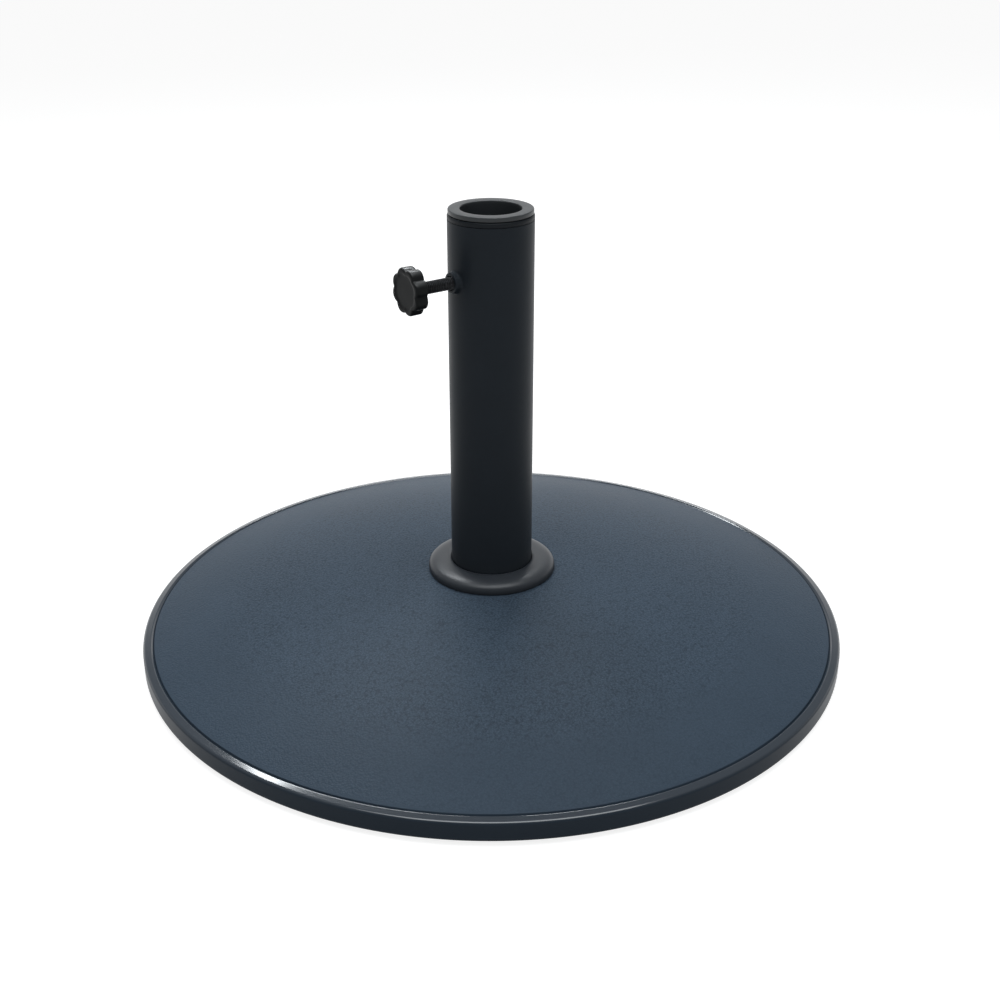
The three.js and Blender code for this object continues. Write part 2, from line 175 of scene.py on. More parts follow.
def arc(centre, reach, rise, start, end, steps, fullness=2.0):
    """Points of an arc in degrees: across = reach cos, up = rise sin, each to the power 2 / fullness.

    A fullness of 2 is an ellipse, and more is squarer. The powers keep the signs of cos and sin.
    """
    angle = np.radians(np.linspace(start, end, steps + 1))
    shares = np.array((np.cos(angle), np.sin(angle)))
    across, up = np.sign(shares) * np.abs(shares) ** (2 / fullness)
    return np.column_stack([centre[0] + reach * across, centre[1] + rise * up])


def grid_quads(rows, columns, rows_close=False, columns_close=True):
    """Corner numbers of the quads between the points of a grid, numbered row by row."""
    row = np.arange(rows if rows_close else rows - 1)[:, None]
    column = np.arange(columns if columns_close else columns - 1)[None, :]
    next_row = (row + 1) % rows
    next_column = (column + 1) % columns
    corners = [row * columns + column, row * columns + next_column,
               next_row * columns + next_column, next_row * columns + column]
    return np.stack(corners, axis=-1).reshape(-1, 4)


def turned(profile, columns, closed=True):
    """A profile carried round the Z axis: x = across cos(turn), y = across sin(turn), z = up."""
    turn = np.linspace(0, FULL_TURN, columns, endpoint=False)
    across, up = profile[:, 0][:, None], profile[:, 1][:, None]
    points = np.stack([across * np.cos(turn), across * np.sin(turn), up + 0 * turn], axis=-1)
    return points.reshape(-1, 3), grid_quads(len(profile), columns, rows_close=closed)


def along_screw(points):
    """Lays upright points along the screw: height becomes the distance from the tube's axis along -X.

    x = -z, y = y, z = screw height + x, which is a quarter turn about Y.
    """
    return np.column_stack([-points[:, 2], points[:, 1], SCREW_HEIGHT + points[:, 0]])


def moved(sheet, x, y):
    """A sheet with its points shifted across the floor."""
    points, quads = sheet
    return points + np.array((x, y, 0)), quads


def walled(outer, inner, quads):
    """A closed wall between two sheets that share their quads.

    It is the outer sheet, the inner sheet turned over, and a strip between them along every free edge,
    which is an edge that only one quad uses.
    """
    edges = np.concatenate([quads[:, [i, (i + 1) % 4]] for i in range(4)])
    _, first, uses = np.unique(np.sort(edges, axis=1), axis=0, return_index=True, return_counts=True)
    free = edges[first[uses == 1]]
    behind = free + len(outer)
    strip = np.column_stack([free[:, 1], free[:, 0], behind[:, 0], behind[:, 1]])
    return np.vstack([outer, inner]), np.vstack([quads, quads[:, ::-1] + len(outer), strip])


def piece(name, sheets, finish, body, nodes, crease=32):
    """One mesh object from (points, quads) sheets, riding on a body and standing for CAD nodes.

    Corners in one place are merged, which closes seams and poles, and the faces are turned outwards.
    Edges sharper than the crease angle stay sharp.
    """
    starts = np.cumsum([0] + [len(points) for points, _ in sheets])
    points = np.vstack([points for points, _ in sheets])
    quads = np.vstack([quads + start for (_, quads), start in zip(sheets, starts)])
    mesh = bpy.data.meshes.new(name)
    mesh.vertices.add(len(points))
    mesh.vertices.foreach_set("co", points.astype(np.float32).ravel())
    mesh.loops.add(quads.size)
    mesh.loops.foreach_set("vertex_index", quads.astype(np.int32).ravel())
    mesh.polygons.add(len(quads))
    mesh.polygons.foreach_set("loop_start", np.arange(0, quads.size, 4, dtype=np.int32))
    mesh.update(calc_edges=True)
    shape = bmesh.new()
    shape.from_mesh(mesh)
    bmesh.ops.remove_doubles(shape, verts=shape.verts, dist=1e-7)
    bmesh.ops.dissolve_degenerate(shape, edges=shape.edges, dist=1e-8)
    bmesh.ops.delete(shape, geom=[v for v in shape.verts if not v.link_faces], context="VERTS")
    bmesh.ops.recalc_face_normals(shape, faces=shape.faces)
    shape.to_mesh(mesh)
    shape.free()
    mesh.polygons.foreach_set("use_smooth", np.ones(len(mesh.polygons), dtype=bool))
    mesh.set_sharp_from_angle(angle=math.radians(crease))
    mesh.materials.append(finish)
    made = bpy.data.objects.new(name, mesh)
    bpy.context.scene.collection.objects.link(made)
    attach(made, body)
    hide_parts(*nodes)


# ---- Shader expressions ------------------------------------------------------------------------------

class Value:
    """A shader socket that is added, multiplied and compared like a number."""

    def __init__(self, recipe, socket):
        self.recipe = recipe
        self.socket = socket

    def math(self, operation, first, second):
        return self.recipe.node("ShaderNodeMath", {"operation": operation}, {0: first, 1: second})

    def __add__(self, other):
        return self.math("ADD", self, other)

    def __sub__(self, other):
        return self.math("SUBTRACT", self, other)

    def __mul__(self, other):
        return self.math("MULTIPLY", self, other)

    def __pow__(self, other):
        return self.math("POWER", self, other)

    __radd__ = __add__
    __rmul__ = __mul__

    def __rsub__(self, other):
        return self.math("SUBTRACT", other, self)

    def most(self, other):
        return self.math("MAXIMUM", self, other)

    def ramp(self, low, high):
        """0 below low, 1 above high, and a smooth step between. With low above high it runs downwards."""
        settings = {"interpolation_type": "SMOOTHSTEP"}
        rises = float(low < high)
        limits = {1: min(low, high), 2: max(low, high), 3: 1 - rises, 4: rises}
        return self.recipe.node("ShaderNodeMapRange", settings, {0: self, **limits})


class Recipe:
    """The nodes of one material or world. node() adds any node and returns one of its outputs."""

    def __init__(self, tree):
        self.tree = tree

    def node(self, kind, settings=None, inputs=None, output=0):
        made = self.tree.nodes.new(kind)
        for name, setting in (settings or {}).items():
            setattr(made, name, setting)
        for name, given in (inputs or {}).items():
            if isinstance(given, Value):
                self.tree.links.new(given.socket, made.inputs[name])
            else:
                made.inputs[name].default_value = given
        return Value(self, made.outputs[output]) if made.outputs else None

    def mix(self, amount, first, second):
        """Blends two colours by an amount from 0 to 1."""
        colours = {"data_type": "RGBA"}
        return self.node("ShaderNodeMix", colours, {0: amount, 6: first, 7: second}, output=2)


class Finish(Recipe):
    """A material with a Principled shader, whose varying inputs are set by expressions."""

    def __init__(self, name, colour, roughness, metallic=0.0, **constants):
        self.material = bpy.data.materials.new(name)
        self.material.use_nodes = True
        self.material.diffuse_color = (*colour, 1)
        super().__init__(self.material.node_tree)
        self.shader = self.tree.nodes["Principled BSDF"]
        self.colour = (*colour, 1)
        self.set("Base Color", self.colour)
        self.set("Roughness", roughness)
        self.set("Metallic", metallic)
        for name, constant in constants.items():
            self.set(name.replace("_", " ").title().replace("Ior", "IOR"), constant)
        self.place = self.node("ShaderNodeTexCoord", output="Object")

    def set(self, name, given):
        if isinstance(given, Value):
            self.tree.links.new(given.socket, self.shader.inputs[name])
        else:
            self.shader.inputs[name].default_value = given

    def axis(self, which):
        """One coordinate of the point on the surface, "X", "Y" or "Z"."""
        return self.node("ShaderNodeSeparateXYZ", None, {0: self.place}, output=which)

    def noise(self, size, detail=2.0, rough=0.5, stretch=(1, 1, 1)):
        """Cloudy noise about 0.5, with features of the given size in metres, drawn out along an axis."""
        scale = tuple(1 / (size * s) for s in stretch)
        point = self.node("ShaderNodeMapping", None, {"Vector": self.place, "Scale": scale})
        return self.node("ShaderNodeTexNoise", None,
                         {"Vector": point, "Scale": 1.0, "Detail": detail, "Roughness": rough})

    def pebbles(self, size, softness=0.6):
        """Distance to the nearest of scattered points, which makes rounded grains of the given size."""
        point = self.node("ShaderNodeMapping", None, {"Vector": self.place, "Scale": (1 / size,) * 3})
        return self.node("ShaderNodeTexVoronoi", {"feature": "SMOOTH_F1"},
                         {"Vector": point, "Scale": 1.0, "Smoothness": softness})

    def facing_up(self):
        """1 on level faces that look up, 0 on upright ones."""
        normal = self.node("ShaderNodeNewGeometry", output="Normal")
        return self.node("ShaderNodeSeparateXYZ", None, {0: normal}, output="Z")

    def bump(self, height, depth):
        """Relief from a height of 0 to 1, in metres of depth."""
        self.set("Normal", self.node("ShaderNodeBump", None,
                                     {"Strength": 1.0, "Distance": depth, "Height": height}))

    def shade(self, amount, darker, lighter):
        """Base colour between two multiples of the finish's own colour."""
        low = tuple(c * darker for c in self.colour[:3]) + (1,)
        high = tuple(c * lighter for c in self.colour[:3]) + (1,)
        self.set("Base Color", self.mix(amount, low, high))


# ---- Finishes ----------------------------------------------------------------------------------------

def slate_shell():
    """Slate plastic with a pebble grain that stops at the groove, and a smooth, glossier lip."""
    finish = Finish("slate_shell", (0.043, 0.062, 0.086), 0.5, specular_ior_level=0.06,
                    coat_roughness=0.12, coat_ior=1.75)
    x, y = finish.axis("X"), finish.axis("Y")
    radius = (x * x + y * y) ** 0.5
    field = radius.ramp(FIELD_RADIUS + 1 * MM, FIELD_RADIUS - 3 * MM)
    rim = radius.ramp(FIELD_RADIUS, FIELD_RADIUS + 1 * MM)
    grains = 1 - finish.pebbles(1.4 * MM) * 1.3
    fine = finish.noise(0.6 * MM, detail=1.0)
    cloud = finish.noise(60 * MM, detail=3.0)
    finish.bump((grains * 0.8 + fine * 0.35) * field + finish.noise(9 * MM) * 0.15 * rim, 0.16 * MM)
    finish.set("Roughness", 0.32 + field * 0.08 + fine * 0.04 + (cloud - 0.5) * 0.06)
    finish.set("Coat Weight", rim * finish.facing_up().ramp(0.45, 0.9))
    speckle = (grains - 0.4) * 0.55 + (fine - 0.5) * 1.3
    inner = radius.ramp(0.86 * FIELD_RADIUS, 0.7 * FIELD_RADIUS) * 0.65 + 0.35
    # Outside the groove (rim * 0.6) the rim, lip and side wall are painted darker: painted shade that stands
    # for the dark side wall.
    finish.shade(speckle * 1.2 * inner * field + cloud * 0.3 + 0.4 - rim * 0.6, 0.55, 1.4)
    return finish.material


def satin_black(name, colour, roughness, orange_peel, relief, polish=0.0, **constants):
    """Satin black paint or plastic: a soft orange-peel relief and faint cloudiness in colour and gloss.

    Polish is how glossy hands and cloths have rubbed the faces that look up.
    """
    finish = Finish(name, colour, roughness, **constants)
    peel = finish.noise(orange_peel, detail=1.5)
    cloud = finish.noise(25 * MM, detail=3.0)
    finish.bump(peel, relief)
    finish.set("Roughness", roughness - 0.05 + cloud * 0.1 + (peel - 0.5) * 0.05)
    if polish:
        finish.set("Coat Weight", finish.facing_up().ramp(0.35, 0.85) * (0.7 + cloud * 0.6) * polish)
    finish.shade(cloud, 0.85, 1.15)
    return finish.material


def bright_zinc():
    """Zinc plating: cool grey metal with cloudy patches and fine machining marks."""
    finish = Finish("bright_zinc", (0.56, 0.57, 0.58), 0.36, metallic=1.0)
    marks = finish.noise(0.35 * MM, detail=2.0, stretch=(1, 1, 0.3))
    cloud = finish.noise(6 * MM, detail=3.0)
    finish.bump(marks, 0.01 * MM)
    finish.set("Roughness", 0.28 + cloud * 0.2)
    finish.shade(cloud, 0.8, 1.08)
    return finish.material


def black_oxide():
    """Black oxide steel, rubbed brighter in patches along the thread."""
    finish = Finish("black_oxide", (0.035, 0.036, 0.039), 0.42, metallic=0.85)
    rubbed = finish.noise(3 * MM, detail=4.0).ramp(0.55, 0.75)
    finish.bump(finish.noise(0.3 * MM), 0.01 * MM)
    finish.set("Roughness", 0.45 - rubbed * 0.15)
    finish.shade(rubbed, 0.85, 2.2)
    return finish.material


def cast_concrete():
    """Cast grey concrete: sandy relief with stones in it."""
    finish = Finish("cast_concrete", (0.34, 0.33, 0.31), 0.95)
    sand = finish.noise(1.5 * MM, detail=5.0, rough=0.7)
    stones = finish.pebbles(9 * MM, softness=0.2)
    finish.bump(sand + stones * 0.4, 0.5 * MM)
    finish.shade(sand * 0.6 + stones * 0.5, 0.7, 1.2)
    return finish.material


def natural_nylon():
    """Uncoloured nylon, faintly cloudy."""
    finish = Finish("natural_nylon", (0.62, 0.6, 0.54), 0.45)
    cloud = finish.noise(4 * MM, detail=3.0)
    finish.bump(finish.noise(0.4 * MM), 0.01 * MM)
    finish.set("Roughness", 0.4 + cloud * 0.12)
    finish.shade(cloud, 0.92, 1.05)
    return finish.material


def foot_rubber():
    """Black rubber with a fine grit and dust on it."""
    finish = Finish("foot_rubber", (0.016, 0.016, 0.016), 0.85)
    grit = finish.noise(0.6 * MM, detail=3.0)
    dust = finish.noise(8 * MM, detail=4.0).ramp(0.5, 0.8)
    finish.bump(grit, 0.05 * MM)
    finish.set("Roughness", 0.75 + grit * 0.2)
    finish.shade(dust, 0.9, 2.4)
    return finish.material


SLATE = slate_shell()
PAN_BLACK = satin_black("pan_black", (0.022, 0.024, 0.027), 0.55, 1.4 * MM, 0.05 * MM,
                        specular_ior_level=0.25)
RING_BLACK = satin_black("ring_black", (0.03, 0.035, 0.042), 0.45, 1.2 * MM, 0.02 * MM, polish=0.7,
                         specular_ior_level=0.12, coat_roughness=0.36)
TUBE_BLACK = satin_black("tube_black", (0.0195, 0.0245, 0.0305), 0.42, 0.9 * MM, 0.018 * MM,
                         specular_ior_level=0.08)
COLLAR_BLACK = satin_black("collar_black", (0.009, 0.0115, 0.0145), 0.42, 0.8 * MM, 0.015 * MM,
                           specular_ior_level=0.12)
FLANGE_BLACK = satin_black("flange_black", (0.026, 0.03, 0.033), 0.36, 0.8 * MM, 0.015 * MM,
                           specular_ior_level=0.35)
KNOB_BLACK = satin_black("knob_black", (0.011, 0.012, 0.0125), 0.38, 0.7 * MM, 0.015 * MM, polish=0.8,
                         specular_ior_level=0.06, coat_roughness=0.34)
ZINC = bright_zinc()
OXIDE = black_oxide()
CONCRETE = cast_concrete()
NYLON = natural_nylon()
RUBBER = foot_rubber()


# ---- Weighted base -----------------------------------------------------------------------------------

def shell():
    """The shell's section carried round: parabola, smooth groove, sloping lip, side wall, and its inside."""
    well = TUBE_RADIUS + SLIDING_FIT
    inside = BASE_RADIUS - SHELL_WALL
    wall_middle = 8 * MM
    radii = np.linspace(well, FIELD_RADIUS, 110)
    field = np.column_stack([radii, dome(radii)])
    lip = outline([(field[-1][0], field[-1][1], 0), (LIP_START, RIM_TOP - LIP_RISE, 0),
                   (LIP_START + LIP_RUN, RIM_TOP, LIP_RISE),
                   (BASE_RADIUS, RIM_TOP - LIP_FALL, RIM_EDGE_FILLET), (BASE_RADIUS, wall_middle, 0)],
                  steps=8)[1:-1]
    across = np.linspace(0, 1, 9)[1:-1, None]
    dip = GROOVE_DEPTH * np.sin(across * math.pi) ** 2
    groove = field[-1] + across * (lip[0] - field[-1]) - np.column_stack([0 * dip, dip])
    corner = arc((BASE_RADIUS - CORNER_RADIUS, SHELL_FOOT + CORNER_RADIUS), CORNER_RADIUS, CORNER_RADIUS,
                 0, -90, 10)
    side = np.column_stack([np.full(5, BASE_RADIUS), np.linspace(lip[-1][1], corner[0][1], 7)[1:-1]])
    under_radii = np.linspace(inside - 2 * SHELL_WALL, well + SHELL_WALL, 24)
    inner = np.vstack([
        [(inside, SHELL_FOOT), (inside, RIM_TOP - BEAD_RADIUS - SHELL_WALL / 2)],
        np.column_stack([under_radii, dome(under_radii) - SHELL_WALL]),
        [(well + SHELL_WALL, WELL_FLOOR - SHELL_WALL), (BOLT_HOLE, WELL_FLOOR - SHELL_WALL),
         (BOLT_HOLE, WELL_FLOOR), (well, WELL_FLOOR)],
    ])
    profile = np.vstack([field, groove, lip, side, corner, inner])
    piece("domed_shell", [turned(profile, 288)], SLATE, "base", ["base_top_shell"])


def bottom_pan():
    """The pan's section: a plate with two stiffening swages, a rounded edge and the bolt's dish."""
    ceiling = DISH_TOP - PAN_WALL
    dish = WASHER_RADIUS + 0.9 * MM
    mouth = dish + 1.5 * MM
    swage = 1.2 * MM
    top = PAN_FOOT + PAN_WALL
    under = [(BOLT_HOLE, ceiling, 0), (dish, ceiling, 0.8 * MM), (mouth, PAN_FOOT, 0.8 * MM)]
    over = [(dish + PAN_WALL, DISH_TOP, 0), (BOLT_HOLE, DISH_TOP, 0)]
    for middle in (0.36 * PAN_RADIUS, 0.66 * PAN_RADIUS):
        half = 5 * MM
        under += [(middle - half, PAN_FOOT, 0.6 * MM), (middle - half / 2, PAN_FOOT + swage, 0.6 * MM),
                  (middle + half / 2, PAN_FOOT + swage, 0.6 * MM), (middle + half, PAN_FOOT, 0.6 * MM)]
    under += [(PAN_RADIUS, PAN_FOOT, 0.5 * MM), (PAN_RADIUS, top, 0), (mouth + PAN_WALL, top, 0)]
    piece("underside_pan", [turned(outline(under + over, steps=4), 240)], PAN_BLACK, "base",
          ["base_bottom_pan"])


def screw_head_height(x, y, radius, height):
    """Rounded head: an ellipse falls from the middle to the rim, less a cross-shaped recess."""
    distance = np.hypot(x, y)
    crown = height * np.sqrt(np.clip(1 - (distance / radius) ** 2 * 0.8, 0, 1))
    arm, slot = radius * 0.62, radius * 0.14
    cross = ((np.abs(x) < slot) & (np.abs(y) < arm)) | ((np.abs(y) < slot) & (np.abs(x) < arm))
    return crown - cross * height * 0.55


def pan_screws():
    """Self-tapping screws: a polar grid for the cross-recessed head, and a shank with a coarse thread."""
    for number in range(1, 7):
        node = f"pan_screw_{number}"
        low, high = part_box(node)
        middle = (low + high) / 2
        head_radius = (high.x - low.x) / 2
        head_top = PAN_FOOT - CLEARANCE
        turn = np.linspace(0, FULL_TURN, 64, endpoint=False)
        distance = np.linspace(0, 1, 28)[:, None] * head_radius
        x, y = distance * np.cos(turn), distance * np.sin(turn)
        z = head_top - screw_head_height(x, y, head_radius, head_top - low.z)
        shank_radius, pitch, ridge = 1.8 * MM, 1.4 * MM, 0.25 * MM
        up = np.linspace(head_top, high.z, 60)[:, None]
        thread = ridge * (1 - np.abs(((up / pitch - turn / FULL_TURN) % 1) * 2 - 1))
        taper = np.clip((high.z - up) / shank_radius, 0, 1)
        reach = (shank_radius - ridge + thread) * taper
        head = np.stack([x, y, z], axis=-1)
        back = np.stack([x[-1], y[-1], 0 * turn + head_top], axis=-1)[None]
        shank = np.stack([reach * np.cos(turn), reach * np.sin(turn), up + 0 * turn], axis=-1)
        rows = np.concatenate([head, back, shank])
        sheet = rows.reshape(-1, 3), grid_quads(len(rows), len(turn))
        piece(f"pan_fastener_{number}", [moved(sheet, middle.x, middle.y)], ZINC, "base",
              [node])


def feet():
    """Rubber pads: rounded discs with two grip grooves turned into the sole."""
    for number in range(1, 7):
        node = f"foot_pad_{number}"
        low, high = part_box(node)
        middle = (low + high) / 2
        radius = (high.x - low.x) / 2
        groove, land = 0.6 * MM, 1.1 * MM
        sole = [(0, 0, 0)]
        for share in (0.35, 0.65):
            at = share * radius
            sole += [(at - land, 0, 0.2 * MM), (at - land / 2, groove, 0.2 * MM),
                     (at + land / 2, groove, 0.2 * MM), (at + land, 0, 0.2 * MM)]
        rim = [(radius, 0, 1.4 * MM), (radius, high.z, 0.4 * MM), (0, high.z, 0)]
        profile = outline(sole + rim, steps=4)
        piece(f"rubber_foot_{number}", [moved(turned(profile, 64, closed=False), middle.x, middle.y)], RUBBER,
              "base", [node])


# ---- Anchor of the tube ------------------------------------------------------------------------------

def hexagon_rows(turn, across_flats, low, high, bore, chamfer_low, chamfer_high):
    """Rows of a hexagonal prism: distance to the flat nearest to each turn, with 30 degree chamfers."""
    sixth = math.pi / 3
    flat = across_flats / 2 / np.cos((turn + sixth / 2) % sixth - sixth / 2)
    inner = 0.95 * across_flats / 2
    drop = (flat - inner) * math.tan(math.radians(30))
    level = 0 * turn
    rows = [(bore + level, low + level)]
    rows += [(inner + level, low + level)] if chamfer_low else []
    rows += [(flat, low + drop * chamfer_low), (flat, high - drop * chamfer_high)]
    rows += [(inner + level, high + level)] if chamfer_high else []
    rows += [(bore + level, high + level)]
    return rows


def stack_rows(rows, turn):
    """Points from rows of (reach, height) arrays: x = reach cos(turn), y = reach sin(turn), z = height."""
    reach = np.array([row[0] for row in rows])
    height = np.array([row[1] for row in rows])
    return np.stack([reach * np.cos(turn), reach * np.sin(turn), height], axis=-1).reshape(-1, 3)


def anchor():
    """Chamfered bolt and nut, and a spring washer whose height climbs round one turn like a spring."""
    turn = np.linspace(0, FULL_TURN, 96, endpoint=False)
    across_flats = 17 * MM
    washer_foot = span("anchor_spring_washer", 2)[0]
    shank = [(5 * MM + 0 * turn, h + 0 * turn) for h in (washer_foot, BOLT_TOP - 1 * MM)]
    point = [(4 * MM + 0 * turn, BOLT_TOP + 0 * turn), (0 * turn, BOLT_TOP + 0 * turn)]
    head = hexagon_rows(turn, across_flats, BOLT_FOOT, washer_foot - CLEARANCE, 0, True, False)[:-1]
    rows = head + shank + point
    bolt = stack_rows(rows, turn), grid_quads(len(rows), len(turn))
    piece("hex_bolt", [bolt], ZINC, "base", ["anchor_bolt"])
    nut_low, nut_high = span("anchor_nut", 2)
    nut_rows = hexagon_rows(turn, across_flats, nut_low, nut_high, BOLT_HOLE, True, True)
    nut = stack_rows(nut_rows, turn), grid_quads(len(nut_rows), len(turn), rows_close=True)
    piece("hex_nut", [nut], ZINC, "base", ["anchor_nut"])
    low, high = span("anchor_washer", 2)
    ends = [(BOLT_HOLE, low, 0.3 * MM), (WASHER_RADIUS, low, 0.4 * MM), (WASHER_RADIUS, high, 0.4 * MM),
            (BOLT_HOLE, high, 0.3 * MM)]
    piece("flat_washer", [turned(outline(ends, steps=3), 96)], ZINC, "base", ["anchor_washer"])
    low, high = span("anchor_spring_washer", 2)
    radius = span("anchor_spring_washer", 1)[1]
    spring, split, soft = 0.25 * MM, 0.06, 0.2 * MM
    climb = np.linspace(0, spring, 97)[None, :]
    coil = np.linspace(split, FULL_TURN - split, 97)[None, :]
    section = outline([(BOLT_HOLE, low, soft), (radius, low, soft), (radius, high - spring, soft),
                       (BOLT_HOLE, high - spring, soft)], steps=2)
    reach, up = section[:, 0][:, None], section[:, 1][:, None]
    points = np.stack([reach * np.cos(coil), reach * np.sin(coil), up + climb], axis=-1)
    ends_closed = np.concatenate([points.mean(axis=0)[None, :1].repeat(len(section), 0), points,
                                  points.mean(axis=0)[None, -1:].repeat(len(section), 0)], axis=1)
    quads = grid_quads(len(section), ends_closed.shape[1], rows_close=True, columns_close=False)
    piece("spring_washer", [(ends_closed.reshape(-1, 3), quads)], ZINC, "base",
          ["anchor_spring_washer"])


# ---- Tube, bush and cover ring -----------------------------------------------------------------------

def tube():
    """Two cylinders with one grid, less the quads inside the bush's hole.

    Grid corners inside the hole, measured over the surface, are pushed out to its edge. The rows are
    closer together in a window round the hole.
    """
    hole = BUSH_NECK + CLEARANCE
    window = 9 * MM
    columns = 256
    turn = np.linspace(0, FULL_TURN, columns, endpoint=False)
    near = np.linspace(SCREW_HEIGHT - window, SCREW_HEIGHT + window, 31)
    below = np.linspace(TUBE_FOOT, near[0], 24)[:-1]
    heights = np.concatenate([below, near, np.linspace(near[-1], TUBE_TOP, 6)[1:]])
    turn, up = np.meshgrid(turn, heights)
    around = (turn - math.pi) * TUBE_RADIUS
    above = up - SCREW_HEIGHT
    distance = np.hypot(around, above)
    inside = distance < hole
    push = np.where(inside, hole / np.maximum(distance, 1e-9), 1)
    turn = math.pi + around * push / TUBE_RADIUS
    up = SCREW_HEIGHT + above * push
    quads = grid_quads(len(heights), columns)
    quads = quads[~inside.ravel()[quads].all(axis=1)]
    skins = [np.column_stack([(r * np.cos(turn)).ravel(), (r * np.sin(turn)).ravel(), up.ravel()])
             for r in (TUBE_RADIUS, TUBE_INSIDE)]
    piece("upright_tube", [walled(*skins, quads)], TUBE_BLACK, "base", ["socket_tube"])


def bush():
    """Rows round the screw's axis: neck, weld bead that follows the tube's curve, boss and chamfered bore.

    On the tube, the distance from the tube's axis is the root of radius squared less y squared.
    """
    turn = np.linspace(0, FULL_TURN, 96, endpoint=False)

    def row(reach, distance=None, lift=0.0):
        saddle = np.sqrt(TUBE_RADIUS ** 2 - (reach * np.sin(turn)) ** 2) + lift
        return reach + 0 * turn, saddle if distance is None else distance + 0 * turn

    weld, soft, chamfer = 1.3 * MM, 0.8 * MM, 0.6 * MM
    off_tube = 0.02 * MM
    rows = [row(BUSH_BORE, TUBE_INSIDE), row(BUSH_NECK, TUBE_INSIDE), row(BUSH_NECK)]
    for share in np.linspace(0, 1, 7):
        angle = share * math.pi / 2
        lift = weld * (1 - math.cos(angle)) + off_tube
        rows.append(row(BUSH_RADIUS + weld * (1 - math.sin(angle)), lift=lift))
    for share in np.linspace(0, 1, 6):
        angle = share * math.pi / 2
        rows.append(row(BUSH_RADIUS - soft * (1 - math.cos(angle)), BUSH_FACE - soft * (1 - math.sin(angle))))
    rows += [row(BUSH_BORE + chamfer, BUSH_FACE), row(BUSH_BORE, BUSH_FACE - chamfer)]
    points = along_screw(stack_rows(rows, turn))
    quads = grid_quads(len(rows), len(turn), rows_close=True)
    piece("welded_bush", [(points, quads)], TUBE_BLACK, "base", ["knob_bush"])


def cover_ring():
    """A hollow moulding that curves from the tube out to an upright edge, in a full quarter arc."""
    bore = TUBE_RADIUS + SLIDING_FIT
    edge = (bore, RING_FOOT + RING_EDGE)
    rise = RING_TOP - RING_FOOT - RING_EDGE
    foot = [(RING_RADIUS - RING_WALL, RING_FOOT), (RING_RADIUS - 0.4 * MM, RING_FOOT),
            (RING_RADIUS - 0.1 * MM, RING_FOOT + 0.15 * MM), (RING_RADIUS, RING_FOOT + 0.5 * MM)]
    outside = arc(edge, RING_RADIUS - bore, rise, 0, 87, 44, RING_FULLNESS)
    lip = [(bore + 0.5 * MM, RING_TOP - 0.05 * MM), (bore + 0.15 * MM, RING_TOP - 0.25 * MM),
           (bore, RING_TOP - 0.7 * MM), (bore, dome(bore) + CLEARANCE),
           (bore + RING_WALL, dome(bore + RING_WALL) + CLEARANCE)]
    inside = arc(edge, RING_RADIUS - bore - RING_WALL, rise - RING_WALL, 84, 0, 16, RING_FULLNESS)
    profile = np.vstack([foot, outside, lip, inside])
    piece("moulded_cover_ring", [turned(profile, 192)], RING_BLACK, "ring", ["cover_ring"])


# ---- Mouth of the tube -------------------------------------------------------------------------------

def mouth_collar():
    """A collar with a rounded shoulder over the tube's end, and a skirt inside the tube."""
    lip = TUBE_TOP + CLEARANCE
    section = [
        (MOUTH_BORE, MOUTH_FOOT, 0.5 * MM), (MOUTH_RADIUS, MOUTH_FOOT, 0.5 * MM), (MOUTH_RADIUS, lip, 0),
        (TUBE_RADIUS, lip, 0.25 * MM), (TUBE_RADIUS, MOUTH_TOP, 1.3 * MM), (MOUTH_BORE, MOUTH_TOP, 0.4 * MM),
    ]
    piece("tube_collar", [turned(outline(section), 192)], COLLAR_BLACK, "base",
          ["mouth_cap"])


